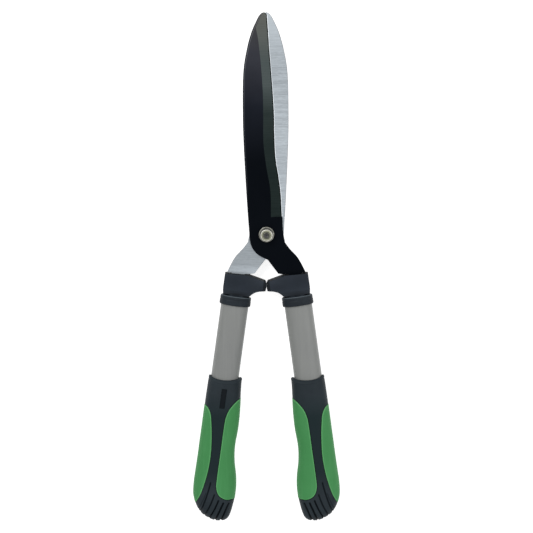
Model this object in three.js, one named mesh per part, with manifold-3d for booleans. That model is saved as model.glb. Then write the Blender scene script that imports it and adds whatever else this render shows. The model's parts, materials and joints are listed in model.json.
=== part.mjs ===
// Hand hedge shears: two equal halves that turn on one bolt, closed, lying on the backs of their grips.
// Millimetres. +Y runs from the grips to the blade tips, +X to the right, +Z up, along the pivot bolt.
// A half is modelled once, as the right one. The left one is the same half turned over about Y.
import * as THREE from "three";
import { mergeVertices } from "three/addons/utils/BufferGeometryUtils.js";
import Module from "manifold-3d";

const wasm = await Module();
wasm.setup();

// ---- Driving dimensions ----
const GAP = 0.3; // clearance between pieces that touch on the real tool
const FLOOR_GAP = 0.15; // from the mid-plane to each blade's flat face

const BLADE_THICK = 3.5;
const BLADE_EDGE_THICK = 0.6; // left at the cutting edge under the long bevel
const BEVEL_END_Y = 20; // where the bevel stops short of the pivot
const REAR_LEAD = 0.0142; // how much further in the rear blade leans, for each millimetre past the bolt
const BOLT_D = 8;
const BOLT_HEAD_D = 17;
const BOLT_HEAD_H = 4.4;
const BOLT_END_Z = 14.8;
const WASHER_D = 17.2;
const WASHER_THICK = 1.5;
const NUT_FLATS = 13;
const NUT_HEIGHT = 8;
const NUT_RECESS_D = 11.4;
const NUT_RECESS_DEPTH = 2.2;

const HANDLE_ANGLE = THREE.MathUtils.degToRad(7.8); // each handle leans out this far
const HANDLE_X = 23.9; // a handle's axis crosses the pivot's height here
const FERRULE_TOP = 43.6; // distances down the handle's axis, from the pivot's height
const FERRULE_BOTTOM = 67.9;
const FERRULE_HALF_DEPTH = 9.6;
const SPIGOT_END = 95;
const TANG_END = 90;
const TANG_MIN_U = -6;
const TANG_MAX_U = 8;
const COLLAR_TOP = 68.2;
const COLLAR_BOTTOM = 78.6;
const COLLAR_LIP = 2;
const TUBE_BOTTOM = 262;
const PIN_V = 74.4;
const PIN_U = 1;
const PIN_D = 4;
const PIN_BORE_D = 2.4;

const TUBE_HALF = [15, 10]; // oval tube, half width and half depth
const TUBE_WALL = 1.2;
const COLLAR_HALF = [17, 12.4];

const GRIP_TOP = 155.5;
const GRIP_BOTTOM = 314;
const GRIP_REST = 15.25; // half depth of the flat that the tool lies on
const PAD_THICK = 2.2;
const TOE_GROOVE_WIDTH = 1.5;
const TOE_GROOVE_DEPTH = 1.4;
const WINDOW = { u: -1.3, v: 179.5, width: 5.5, length: 21.5, depth: 1.2 };
const CURVE_STEPS = 22; // facets along a blade's edge, round a part, round a pin and down a pad's seam
const ROUND_STEPS = 24;
const PIN_STEPS = 12;
const SEAM_STEPS = 18;

// ---- Solids ----
function solidOf(geometry) {
  const flat = geometry.index ? geometry.toNonIndexed() : geometry;
  const bare = new THREE.BufferGeometry();
  bare.setAttribute("position", flat.getAttribute("position"));
  const merged = mergeVertices(bare, 1e-4);
  return new wasm.Manifold(
    new wasm.Mesh({
      numProp: 3,
      vertProperties: merged.attributes.position.array,
      triVerts: new Uint32Array(merged.index.array),
    }),
  );
}

function geometryOf(solid) {
  const mesh = solid.getMesh();
  const geometry = new THREE.BufferGeometry();
  geometry.setAttribute("position", new THREE.BufferAttribute(mesh.vertProperties, 3));
  geometry.setIndex(new THREE.BufferAttribute(mesh.triVerts, 1));
  const faceted = geometry.toNonIndexed();
  faceted.computeVertexNormals();
  return faceted;
}

// A flat outline raised from z = low to z = high.
function slab(outline, low, high) {
  const geometry = new THREE.ExtrudeGeometry(outline, { depth: high - low, bevelEnabled: false, steps: 1 });
  return solidOf(geometry.translate(0, 0, low));
}

function roundBar(diameter, low, high, steps = ROUND_STEPS) {
  const geometry = new THREE.CylinderGeometry(diameter / 2, diameter / 2, high - low, steps);
  geometry.rotateX(Math.PI / 2);
  return solidOf(geometry.translate(0, 0, (low + high) / 2));
}

function block(width, length, low, high) {
  const geometry = new THREE.BoxGeometry(width, length, high - low);
  return solidOf(geometry.translate(0, 0, (low + high) / 2));
}

// An upright bar with an even number of flat sides, measured across its flats.
function sidedBar(sides, flats, low, high) {
  const radius = flats / 2 / Math.cos(Math.PI / sides);
  const geometry = new THREE.CylinderGeometry(radius, radius, high - low, sides);
  geometry.rotateY(Math.PI / sides).rotateX(Math.PI / 2);
  return solidOf(geometry.translate(0, 0, (low + high) / 2));
}

// A solid of revolution about the pivot axis, from [radius, z] points that close on the axis.
function turned(profile, steps = ROUND_STEPS) {
  const geometry = new THREE.LatheGeometry(
    profile.map(([radius, z]) => new THREE.Vector2(radius, z)),
    steps,
  );
  return solidOf(geometry.rotateX(Math.PI / 2));
}

// A closed body through equal rings of points, with a point at the middle of each end.
function lofted(rings) {
  const count = rings[0].length;
  const positions = rings.flat().flatMap((point) => point.toArray());
  const indices = [];
  for (let row = 0; row + 1 < rings.length; row += 1) {
    for (let i = 0; i < count; i += 1) {
      const here = row * count + i;
      const next = row * count + ((i + 1) % count);
      indices.push(here, next, here + count);
      indices.push(next, next + count, here + count);
    }
  }
  for (const [row, flip] of [[0, false], [rings.length - 1, true]]) {
    const middle = new THREE.Vector3();
    rings[row].forEach((point) => middle.addScaledVector(point, 1 / count));
    const apex = positions.length / 3;
    positions.push(...middle.toArray());
    for (let i = 0; i < count; i += 1) {
      const here = row * count + i;
      const next = row * count + ((i + 1) % count);
      indices.push(apex, flip ? here : next, flip ? next : here);
    }
  }
  const geometry = new THREE.BufferGeometry();
  geometry.setAttribute("position", new THREE.Float32BufferAttribute(positions, 3));
  geometry.setIndex(indices);
  return solidOf(geometry);
}

// A smooth function through [at, value] stations.
function through(stations) {
  const curve = new THREE.SplineCurve(stations.map(([at, value]) => new THREE.Vector2(at, value)));
  const fine = curve.getPoints(stations.length * 24);
  return (at) => {
    const after = fine.findIndex((point) => point.x >= at);
    if (after <= 0) return after === 0 ? fine[0].y : fine.at(-1).y;
    const [a, b] = [fine[after - 1], fine[after]];
    return THREE.MathUtils.mapLinear(at, a.x, b.x, a.y, b.y);
  };
}

function spread(from, to, steps) {
  return Array.from({ length: steps + 1 }, (_, i) => THREE.MathUtils.lerp(from, to, i / steps));
}

// Points along a smooth bow from `from` past `by` to `to`, without its two ends.
function bow(from, by, to, steps = 8) {
  const curve = new THREE.SplineCurve([from, ...by, to].map(([x, y]) => new THREE.Vector2(x, y)));
  return curve.getPoints(steps).slice(1, -1).map((point) => [point.x, point.y]);
}

function outlineOf(points) {
  return new THREE.Shape(points.map(([x, y]) => new THREE.Vector2(x, y)));
}

// ---- Frames ----
// u runs outwards across the handle and v down its axis, from the pivot's height.
function onBlade([u, v]) {
  const [s, c] = [Math.sin(HANDLE_ANGLE), Math.cos(HANDLE_ANGLE)];
  return [HANDLE_X + u * c + v * s, u * s - v * c];
}

// A handle's pieces are drawn with x = u and y = -v.
const onHandle = ([u, v]) => [u, -v];

// ---- Blade ----
const spineX = through([
  [5, -19], [31, -20.9], [58, -22.6], [97, -24.7], [130, -25.7], [176, -25.3],
  [203, -21.4], [222, -16.3], [236, -10.2], [243.6, -5.6],
]);
const edgeX = through([
  [-8.2, 20.2], [5, 18], [24, 17.1], [45, 16], [64, 13.6], [84, 10.4],
  [110, 9.1], [137, 8.5], [177, 5.7], [203, 3.6], [229, 1.8], [240, 1.1],
]);
const bevelX = through([
  [BEVEL_END_Y, 5.5], [49, 5], [75, 0.6], [101, -2.9], [140, -3.9],
  [180, -7.3], [219, -9.8], [250, -13.5],
]);

// The tang's lower edge stands just clear of the ferrule, and a narrow tail goes on down inside it.
function tangPoints() {
  const lip = (u) => [u, FERRULE_TOP - GAP + (u + 9.6) / 25];
  const tail = [
    lip(12.8), lip(TANG_MAX_U), [TANG_MAX_U, TANG_END - 4], [TANG_MAX_U - 3, TANG_END],
    [TANG_MIN_U + 3, TANG_END], [TANG_MIN_U, TANG_END - 4], lip(TANG_MIN_U), lip(-9.6), [-16.9, 41.2],
  ];
  return tail.map(onBlade);
}

// A blade leans in by `lead` for each millimetre past the bolt.
function bladeOutline(lead) {
  const spine = spread(5, 243.6, CURVE_STEPS).map((y) => [spineX(y), y]);
  const edge = spread(240, -8.2, CURVE_STEPS).map((y) => [edgeX(y), y]);
  const tip = bow([-5.6, 243.6], [[-2.5, 244.7], [0.2, 243]], [1.1, 240], 6);
  const tang = tangPoints();
  const outer = bow([20.2, -8.2], [[25.2, -14.9], [34.3, -25], [41.5, -38.7]], tang[0], 12);
  const heel = bow([1.3, -27], [[-10.1, -20.7], [-17.1, -10.3]], [-19, 5], 10);
  const points = [...spine, ...tip, ...edge, ...outer, ...tang, [1.3, -27], ...heel];
  return outlineOf(points.map(([x, y]) => [x + lead * Math.max(y, 0), y]));
}

// What grinding takes off: everything above a slope from the bevel's line down to the cutting edge.
function bevelCut(lead) {
  const top = FLOOR_GAP + BLADE_THICK;
  const overrun = 3;
  const sections = spread(BEVEL_END_Y, 248, CURVE_STEPS).map((y) => {
    const [line, edge] = [bevelX(y) + lead * y, edgeX(y) + lead * y];
    const slope = (BLADE_THICK - BLADE_EDGE_THICK) / (edge - line);
    const low = top - slope * (edge + overrun - line);
    return [
      new THREE.Vector3(line, y, top),
      new THREE.Vector3(line, y, top + 2),
      new THREE.Vector3(edge + overrun, y, top + 2),
      new THREE.Vector3(edge + overrun, y, low),
    ];
  });
  return lofted(sections);
}

function pinHole(low, high) {
  return roundBar(PIN_D + 2 * GAP, low, high, PIN_STEPS);
}

function blade(pivotHole, lead) {
  const [low, high] = [FLOOR_GAP, FLOOR_GAP + BLADE_THICK];
  const [pinX, pinY] = onBlade([PIN_U, PIN_V]);
  return slab(bladeOutline(lead), low, high)
    .subtract(bevelCut(lead))
    .subtract(pivotHole)
    .subtract(pinHole(low - 1, high + 1).translate([pinX, pinY, 0]));
}

// ---- Pivot ----
function pivotBolt() {
  const seat = -FLOOR_GAP - BLADE_THICK - GAP;
  const crown = new THREE.SplineCurve([
    new THREE.Vector2(0, seat - BOLT_HEAD_H),
    new THREE.Vector2(BOLT_HEAD_D * 0.3, seat - BOLT_HEAD_H * 0.8),
    new THREE.Vector2(BOLT_HEAD_D / 2, seat - 0.8),
  ]);
  const head = turned([...crown.getPoints(8).map((p) => [p.x, p.y]), [BOLT_HEAD_D / 2, seat], [0, seat]]);
  const neck = sidedBar(4, BOLT_D, seat - 0.5, -FLOOR_GAP);
  const shank = turned([
    [0, seat - 0.5], [BOLT_D / 2, seat - 0.5], [BOLT_D / 2, BOLT_END_Z - 0.9],
    [BOLT_D / 2 - 0.9, BOLT_END_Z], [0, BOLT_END_Z],
  ]);
  return head.add(neck).add(shank);
}

const NUT_LOW = FLOOR_GAP + BLADE_THICK + WASHER_THICK + 2 * GAP;

function lockNut() {
  const top = NUT_LOW + NUT_HEIGHT;
  const corner = NUT_FLATS / 2 / Math.cos(Math.PI / 6);
  const chamfer = turned([
    [0, NUT_LOW], [corner - 0.7, NUT_LOW], [corner, NUT_LOW + 0.6], [corner, top - 2.4],
    [NUT_FLATS / 2 - 0.1, top - 1.7], [NUT_FLATS / 2 - 0.2, top - 0.5],
    [NUT_FLATS / 2 - 0.6, top], [0, top],
  ]);
  return sidedBar(6, NUT_FLATS, NUT_LOW, top)
    .intersect(chamfer)
    .subtract(roundBar(BOLT_D + 2 * GAP, NUT_LOW - 1, top + 1))
    .subtract(roundBar(NUT_RECESS_D, top - NUT_RECESS_DEPTH, top + 1));
}

function nylonRing() {
  const top = NUT_LOW + NUT_HEIGHT;
  const [low, high] = [top - NUT_RECESS_DEPTH + GAP, top - 0.25];
  return roundBar(NUT_RECESS_D - 2 * GAP, low, high).subtract(roundBar(BOLT_D + 2 * GAP, low - 1, high + 1));
}

function washer() {
  const low = FLOOR_GAP + BLADE_THICK + GAP;
  const high = low + WASHER_THICK;
  const rim = WASHER_D / 2;
  const disc = turned([
    [0, low], [rim - 0.3, low], [rim, low + 0.3], [rim, high - 0.3], [rim - 0.3, high], [0, high],
  ]);
  return disc.subtract(roundBar(BOLT_D + 2 * GAP, low - 1, high + 1));
}

// ---- Ovals round a handle's axis ----
function ovalBar([halfWidth, halfDepth], grow, fromV, toV) {
  const geometry = new THREE.CylinderGeometry(1, 1, toV - fromV, ROUND_STEPS);
  geometry.scale(halfWidth + grow, 1, halfDepth + grow);
  return solidOf(geometry.translate(0, -(fromV + toV) / 2, 0));
}

function pinBore() {
  return pinHole(-20, 20).translate([PIN_U, -PIN_V, 0]);
}

function tube() {
  const top = COLLAR_TOP + COLLAR_LIP + GAP;
  return ovalBar(TUBE_HALF, 0, top, TUBE_BOTTOM)
    .subtract(ovalBar(TUBE_HALF, -TUBE_WALL, top - 1, TUBE_BOTTOM + 1))
    .subtract(pinBore());
}

function collar() {
  return ovalBar(COLLAR_HALF, -0.8, COLLAR_TOP, COLLAR_TOP + 1)
    .add(ovalBar(COLLAR_HALF, 0, COLLAR_TOP + 0.8, COLLAR_BOTTOM))
    .subtract(ovalBar(TUBE_HALF, -TUBE_WALL, COLLAR_TOP - 1, COLLAR_BOTTOM))
    .subtract(ovalBar(TUBE_HALF, GAP, COLLAR_TOP + COLLAR_LIP, COLLAR_BOTTOM + 1));
}

function tangPin() {
  const reach = TUBE_HALF[1] - GAP;
  return roundBar(PIN_D, -reach, reach, PIN_STEPS)
    .subtract(roundBar(PIN_BORE_D, -reach - 1, reach + 1, PIN_STEPS))
    .translate([PIN_U, -PIN_V, 0]);
}

// ---- Ferrule and bumper ----
const NOSE_TOP = 49.9; // the upper corners of the two noses meet when the shears are closed
const NOSE_GAP = 0.2; // from each nose's upper corner to the middle
const NOSE_U =
  (NOSE_GAP - HANDLE_X - NOSE_TOP * Math.sin(HANDLE_ANGLE)) / Math.cos(HANDLE_ANGLE);
const BUMPER_LENGTH = 3.2;

function ferruleOutline() {
  const underside = bow([-29.6, 58.6], [[-23, 59.9], [-18.2, 62.2]], [-13.3, FERRULE_BOTTOM], 6);
  return outlineOf(
    [
      [15.1, 44.6], [-9.6, FERRULE_TOP], [-28.2, 46.7], [NOSE_U, NOSE_TOP], [NOSE_U, 57.6],
      [-29.6, 58.6], ...underside, [-13.3, FERRULE_BOTTOM], [14.5, FERRULE_BOTTOM], [15.2, 62],
    ].map(onHandle),
  );
}

// The ferrule's block with every edge of its two faces chamfered.
function ferruleBlock() {
  const chamfer = 1.1;
  const depth = 2 * (FERRULE_HALF_DEPTH - chamfer);
  const geometry = new THREE.ExtrudeGeometry(ferruleOutline(), {
    depth, steps: 1, bevelEnabled: true, bevelThickness: chamfer, bevelSize: chamfer,
    bevelOffset: -chamfer, bevelSegments: 1,
  });
  return solidOf(geometry.translate(0, 0, -depth / 2));
}

// Everything beyond a line parallel to the nose's end, `inset` short of it.
function noseRegion(inset) {
  const edge = NOSE_U + inset;
  const corners = [[edge, 40], [edge, 70], [-45, 70], [-45, 40]].map(onHandle);
  return slab(outlineOf(corners), -15, 15);
}

function bumperStem(grow) {
  const geometry = new THREE.CylinderGeometry(3 + grow, 3 + grow, 9 + grow, 20);
  geometry.rotateZ(Math.PI / 2);
  return solidOf(geometry.translate(-25 + grow / 2, -53.2, 0));
}

function bumper() {
  return ferruleBlock().intersect(noseRegion(BUMPER_LENGTH)).add(bumperStem(0));
}

function ferrule() {
  const tang = slab(
    outlineOf([
      [TANG_MIN_U - GAP, 40], [TANG_MAX_U + GAP, 40],
      [TANG_MAX_U + GAP, TANG_END + GAP], [TANG_MIN_U - GAP, TANG_END + GAP],
    ].map(onHandle)),
    FLOOR_GAP - GAP,
    FLOOR_GAP + BLADE_THICK + GAP,
  );
  const spigot = ovalBar(TUBE_HALF, -TUBE_WALL - GAP, FERRULE_BOTTOM - 1, SPIGOT_END);
  return ferruleBlock()
    .subtract(noseRegion(BUMPER_LENGTH + GAP))
    .subtract(bumperStem(GAP))
    .add(spigot)
    .subtract(tang)
    .subtract(pinBore());
}

// ---- Grip ----
// Stations down the handle: v, inner u, outer u, half depth, and how square the section is.
const GRIP_STATIONS = [
  [155.5, -17.4, 16.8, 13.1, 2.2], [156.6, -18.4, 17.6, 13.9, 2.2], [159, -18.9, 17.9, 14.3, 2.2],
  [163, -19.0, 18.0, 14.3, 2.2], [178, -20.2, 18.2, 14.4, 2.3], [194, -21.4, 18.2, 14.4, 2.4],
  [210, -21.8, 18.0, 14.3, 2.4], [230, -21.0, 17.8, 14.2, 2.4], [246, -22.7, 17.7, 14.7, 2.4],
  [262, -26.5, 17.9, 15.5, 2.4], [274, -28.2, 18.0, 15.7, 2.4], [286, -28.4, 17.1, 15.6, 2.4],
  [294, -27.7, 14.8, 15.1, 2.5], [302, -26.5, 10.6, 13.4, 2.6], [308, -24.8, 5.0, 10.4, 2.6],
  [312, -21.3, -2.6, 6.6, 2.5], [314, -15.0, -8.0, 2.0, 2.2],
];
const SECTION_STEPS = 22;
const gripPart = [1, 2, 3, 4].map((column) => through(GRIP_STATIONS.map((row) => [row[0], row[column]])));

// Closer stations towards the two ends, where the grip turns in.
function gripStations() {
  return [
    ...spread(GRIP_TOP, 162, 3), ...spread(176, 290, 9), ...spread(297, 312, 4), GRIP_BOTTOM,
  ];
}

function gripSection(v, inset) {
  const [inner, outer, depth, square] = gripPart.map((part) => part(v));
  const [middle, half] = [(inner + outer) / 2, (outer - inner) / 2 - inset];
  const power = 2 / square;
  return spread(0, 2 * Math.PI, SECTION_STEPS)
    .slice(0, -1)
    .map((angle) => {
      const [c, s] = [Math.cos(angle), Math.sin(angle)];
      return new THREE.Vector3(
        middle + Math.max(half, 0.3) * Math.sign(c) * Math.abs(c) ** power,
        -v,
        Math.max(depth - inset, 0.3) * Math.sign(s) * Math.abs(s) ** power,
      );
    });
}

// The grip's outer form, shrunk all round by `inset`.
function gripForm(inset) {
  const last = GRIP_BOTTOM - inset;
  const stations = gripStations().filter((v) => v < last);
  return lofted([...stations, last].map((v) => gripSection(v, inset)));
}

// The outlines of the two soft pads, seen from above, from the top of each, round to its lower end.
const INNER_PAD = [
  [-21, 177.6], [-15, 181], [-9.6, 188.6], [-6.7, 197], [-5.8, 207], [-5.6, 236], [-5.7, 268],
  [-7.0, 278], [-10.6, 284.4], [-16, 287.7], [-22, 288.3], [-26.5, 287.2], [-31, 285.2],
];
const OUTER_PAD = [
  [20, 188], [14.6, 190.6], [10.6, 196.6], [8.4, 205], [5.6, 222], [3.9, 242], [4.6, 260],
  [6.6, 274], [9.2, 286], [12.6, 293.6], [15.6, 298], [18, 300.6],
];

// A pad's outline, carried out past the grip's side, grown by `grow` where it meets the core.
function padRegion(stations, side, grow) {
  const seam = new THREE.SplineCurve(stations.map(([u, v]) => new THREE.Vector2(u, v)));
  const front = seam.getPoints(SEAM_STEPS);
  const points = front.map((point, i) => {
    const [a, b] = [front[Math.max(i - 1, 0)], front[Math.min(i + 1, front.length - 1)]];
    const along = b.clone().sub(a).normalize();
    return [point.x - side * along.y * grow, point.y + side * along.x * grow];
  });
  const far = side * 45;
  return slab(outlineOf([...points, [far, points.at(-1)[1]], [far, points[0][1]]].map(onHandle)), -25, 25);
}

function restCut() {
  return block(120, 400, -GRIP_REST, GRIP_REST).translate([0, -200, 0]);
}

function gripPad(stations, side) {
  return gripForm(0)
    .intersect(restCut())
    .subtract(gripForm(PAD_THICK))
    .intersect(padRegion(stations, side, 0));
}

// Grooves that run round the grip's end, each starting at (u, v) on its face and leaning out by degrees.
function toeGrooves() {
  const starts = [
    [-23.9, 290.4, 21], [-17.9, 291.6, 22], [-12, 288.4, 23], [-6.4, 282.8, 23], [-1.4, 270.6, 19],
  ];
  const length = 60;
  const cuts = starts.map(([u, v, lean]) => {
    const geometry = new THREE.BoxGeometry(TOE_GROOVE_WIDTH, length, 60);
    geometry.translate(0, -length / 2, 0).rotateZ(THREE.MathUtils.degToRad(lean));
    return solidOf(geometry.translate(u, -v, 0));
  });
  return cuts.reduce((all, cut) => all.add(cut)).subtract(gripForm(TOE_GROOVE_DEPTH));
}

function mouldWindow() {
  return block(WINDOW.width, WINDOW.length, -25, 0)
    .translate([WINDOW.u, -WINDOW.v, 0])
    .subtract(gripForm(WINDOW.depth));
}

function gripCore() {
  const pocket = padRegion(INNER_PAD, -1, GAP)
    .add(padRegion(OUTER_PAD, 1, GAP))
    .subtract(gripForm(PAD_THICK + GAP));
  return gripForm(0)
    .intersect(restCut())
    .subtract(pocket)
    .subtract(toeGrooves())
    .subtract(mouldWindow())
    .subtract(ovalBar(TUBE_HALF, GAP, GRIP_TOP - 2, TUBE_BOTTOM + GAP));
}

// ---- Materials ----
function finish(color, roughness, metalness) {
  return new THREE.MeshStandardMaterial({ color, roughness, metalness });
}

const COATED_STEEL = finish(0x14171b, 0.5, 0.4);
const GROUND_STEEL = finish(0xb0b7bb, 0.35, 0.9);
const ZINC = finish(0xc4c2b8, 0.35, 0.9);
const NYLON = finish(0xb3ac8e, 0.6, 0);
const DARK_PLASTIC = finish(0x2b3036, 0.6, 0);
const RUBBER = finish(0x1b1d20, 0.85, 0);
const GREY_PAINT = finish(0x878988, 0.4, 0.3);
const GREEN_RUBBER = finish(0x44854f, 0.8, 0);

// ---- Assembly ----
function piece(name, solid, material) {
  const mesh = new THREE.Mesh(geometryOf(solid), material);
  mesh.name = name;
  return mesh;
}

function handle(side) {
  const group = new THREE.Group();
  group.add(
    piece(`${side}_ferrule`, ferrule(), DARK_PLASTIC),
    piece(`${side}_bumper`, bumper(), RUBBER),
    piece(`${side}_collar`, collar(), DARK_PLASTIC),
    piece(`${side}_tube`, tube(), GREY_PAINT),
    piece(`${side}_tang_pin`, tangPin(), ZINC),
    piece(`${side}_grip_core`, gripCore(), DARK_PLASTIC),
    piece(`${side}_grip_pad_inner`, gripPad(INNER_PAD, -1), GREEN_RUBBER),
    piece(`${side}_grip_pad_outer`, gripPad(OUTER_PAD, 1), GREEN_RUBBER),
  );
  group.position.x = HANDLE_X;
  group.rotation.z = HANDLE_ANGLE;
  return group;
}

function half(side, bladePiece) {
  const group = new THREE.Group();
  group.add(bladePiece, handle(side));
  return group;
}

const roundHole = roundBar(BOLT_D + 2 * GAP, -1, 6);
const squareHole = sidedBar(4, BOLT_D + 2 * GAP, -1, 6);
const rightHalf = half("right", piece("front_blade", blade(roundHole, 0), COATED_STEEL));
const leftHalf = half("left", piece("rear_blade", blade(squareHole, REAR_LEAD), GROUND_STEEL));
leftHalf.rotation.y = Math.PI;

const shears = new THREE.Group();
shears.add(
  rightHalf,
  leftHalf,
  piece("pivot_bolt", pivotBolt(), ZINC),
  piece("front_washer", washer(), ZINC),
  piece("lock_nut", lockNut(), ZINC),
  piece("nut_nylon_ring", nylonRing(), NYLON),
);

// The origin is the middle of the surface that the grips lie on.
const box = new THREE.Box3().setFromObject(shears, true);
const middle = box.getCenter(new THREE.Vector3());
shears.position.set(-middle.x, -middle.y, -box.min.z);

const part = new THREE.Group();
part.add(shears);
export default part;
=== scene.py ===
import json
import math

import bmesh
import bpy
import numpy as np
from mathutils import Matrix, Vector


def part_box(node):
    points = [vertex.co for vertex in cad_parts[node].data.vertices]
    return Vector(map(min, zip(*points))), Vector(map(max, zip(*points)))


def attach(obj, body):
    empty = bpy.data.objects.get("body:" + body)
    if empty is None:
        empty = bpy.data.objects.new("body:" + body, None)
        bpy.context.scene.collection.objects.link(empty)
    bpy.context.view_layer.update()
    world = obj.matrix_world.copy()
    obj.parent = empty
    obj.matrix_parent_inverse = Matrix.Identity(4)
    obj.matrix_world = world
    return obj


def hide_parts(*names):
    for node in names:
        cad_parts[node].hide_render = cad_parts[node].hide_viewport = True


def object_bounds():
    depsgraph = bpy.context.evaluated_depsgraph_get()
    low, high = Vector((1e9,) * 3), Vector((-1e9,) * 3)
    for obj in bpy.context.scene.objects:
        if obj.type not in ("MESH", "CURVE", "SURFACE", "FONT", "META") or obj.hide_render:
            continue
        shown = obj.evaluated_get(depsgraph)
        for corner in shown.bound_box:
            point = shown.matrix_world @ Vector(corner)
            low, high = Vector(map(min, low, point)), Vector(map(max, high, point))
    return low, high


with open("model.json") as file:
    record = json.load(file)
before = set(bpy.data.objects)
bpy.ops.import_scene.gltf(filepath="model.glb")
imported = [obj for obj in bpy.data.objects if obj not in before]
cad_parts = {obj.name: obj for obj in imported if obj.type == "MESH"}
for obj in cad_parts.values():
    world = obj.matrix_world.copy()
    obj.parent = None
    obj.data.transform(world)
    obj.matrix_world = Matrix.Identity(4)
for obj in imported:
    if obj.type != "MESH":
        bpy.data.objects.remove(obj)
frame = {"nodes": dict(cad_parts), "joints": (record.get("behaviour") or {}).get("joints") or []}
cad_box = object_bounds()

# Hedge shears. Each half is drawn in millimetres with the pivot bolt at the origin, +Y towards the
# blade tips and +Z up along the bolt. The right half is drawn; the left is it turned over about Y.
# A handle's own frame has u outwards across the handle and v down its axis, from the pivot's height.

MM = 0.001
SIDES = ("right", "left")
BODY = {"right": "right_half", "left": "left_half"}
BLADE = {"right": "front_blade", "left": "rear_blade"}
COARSER = 1


# ---- Places, from the frame ----
def centre(node):
    low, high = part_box(node)
    return (low + high) / 2


PIVOT = Vector(frame["joints"][0]["pos_m"])
COLLAR_MIDDLE = centre("right_collar")
TUBE_MIDDLE = centre("right_tube")
LEAN = math.atan2(TUBE_MIDDLE.x - COLLAR_MIDDLE.x, COLLAR_MIDDLE.y - TUBE_MIDDLE.y)
HANDLE_X = (TUBE_MIDDLE.x - (PIVOT.y - TUBE_MIDDLE.y) * math.tan(LEAN)) / MM


def handle_span(node):
    """Lowest and highest (u, v, z) of a right-hand CAD node in the handle's own frame, in mm."""
    points = np.array([v.co[:] for v in frame["nodes"][node].data.vertices])
    points = (points - np.array(PIVOT)) / MM - np.array([HANDLE_X, 0, 0])
    c, s = math.cos(LEAN), math.sin(LEAN)
    u = points[:, 0] * c + points[:, 1] * s
    v = points[:, 0] * s - points[:, 1] * c
    spans = np.stack([u, v, points[:, 2]], axis=1)
    return spans.min(0), spans.max(0)


def heights(node):
    """Lowest and highest z of a CAD node, in mm from the pivot."""
    low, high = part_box(node)
    return (low.z - PIVOT.z) / MM, (high.z - PIVOT.z) / MM


def turned_radius(node):
    """Radius of a CAD node that is turned about the pivot, in mm."""
    return (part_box(node)[1].x - PIVOT.x) / MM


TUBE_LOW, TUBE_HIGH = handle_span("right_tube")
COLLAR_LOW, COLLAR_HIGH = handle_span("right_collar")
FERRULE_HIGH = handle_span("right_ferrule")[1]
REST_DEPTH = handle_span("right_grip_core")[1][2]
PIN_AT = np.mean(handle_span("right_tang_pin"), axis=0)[:2]
TUBE_HALF = np.array([TUBE_HIGH[0], TUBE_HIGH[2]])
COLLAR_HALF = np.array([COLLAR_HIGH[0], COLLAR_HIGH[2]])
BLADE_LOW, BLADE_HIGH = heights("front_blade")

HALF_TO_ROW = {
    "right": Matrix.Translation(PIVOT) @ Matrix.Scale(MM, 4),
    "left": Matrix.Translation(PIVOT) @ Matrix.Rotation(math.pi, 4, "Y") @ Matrix.Scale(MM, 4),
}
HANDLE_TO_HALF = Matrix.Translation((HANDLE_X, 0, 0)) @ Matrix.Rotation(LEAN, 4, "Z")


# ---- Curves ----
def spline(points, steps):
    """Points along a smooth curve through the given points, evenly spread over its spans."""
    p = np.array(points, float)
    padded = np.vstack([p[0], p, p[-1]])
    t = np.linspace(0, len(p) - 1, steps + 1)
    span = np.minimum(t.astype(int), len(p) - 2)
    f = (t - span)[:, None]
    p0, p1, p2, p3 = (padded[span + k] for k in range(4))
    v0, v1 = (p2 - p0) / 2, (p3 - p1) / 2
    return (2 * p1 - 2 * p2 + v0 + v1) * f**3 + (-3 * p1 + 3 * p2 - 2 * v0 - v1) * f**2 + v0 * f + p1


def through(stations):
    """A smooth function through (at, value) stations."""
    fine = spline(stations, len(stations) * 40)
    return lambda at: np.interp(at, fine[:, 0], fine[:, 1])


def smooth(t):
    t = np.clip(t, 0, 1)
    return t * t * (3 - 2 * t)


def unit(vectors):
    """The vectors, each made 1 long."""
    return vectors / np.maximum(np.linalg.norm(vectors, axis=-1, keepdims=True), 1e-9)


# ---- Meshes ----
def in_scene(name, data):
    """A new object in the scene, made of the given mesh, camera or light."""
    item = bpy.data.objects.new(name, data)
    bpy.context.scene.collection.objects.link(item)
    return item


def new_object(name, verts, faces):
    mesh = bpy.data.meshes.new(name)
    mesh.from_pydata([tuple(v) for v in np.asarray(verts, float)], [], faces)
    mesh.validate()
    return in_scene(name, mesh)


def ring_faces(rows, count, closed=True):
    """Faces between rows of `count` points, each row joined round where `closed`."""
    faces = []
    for r in range(rows - 1):
        for i in range(count if closed else count - 1):
            j = (i + 1) % count
            a, b = r * count + i, r * count + j
            faces.append((a, a + count, b + count, b))
    return faces


def loft(name, rings):
    """A body through equal rings of points, capped at both ends."""
    rows, count = len(rings), len(rings[0])
    faces = ring_faces(rows, count)
    faces.append(tuple(range(count)))
    faces.append(tuple((rows - 1) * count + i for i in reversed(range(count))))
    return face_out(new_object(name, np.concatenate(rings), faces))


def closed_loft(name, rings):
    """A body through equal rings of points, of which the last joins the first."""
    count, total = len(rings[0]), len(rings) * len(rings[0])
    faces = [tuple(i % total for i in face) for face in ring_faces(len(rings) + 1, count)]
    return face_out(new_object(name, np.concatenate(rings), faces))


def face_out(item):
    """Turns all the faces to point out."""
    work = bmesh.new()
    work.from_mesh(item.data)
    bmesh.ops.recalc_face_normals(work, faces=work.faces)
    work.to_mesh(item.data)
    work.free()
    return item


def vertex_places(item):
    return np.array([vertex.co for vertex in item.data.vertices])


def level_ring(plan, z):
    """Points (x, y) at one height."""
    return np.column_stack([plan, np.full(len(plan), z)])


def slab(name, outline, low, high):
    return loft(name, [level_ring(np.asarray(outline, float), z) for z in (low, high)])


def round_angles(count):
    return np.linspace(0, 2 * math.pi, count, endpoint=False)


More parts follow.
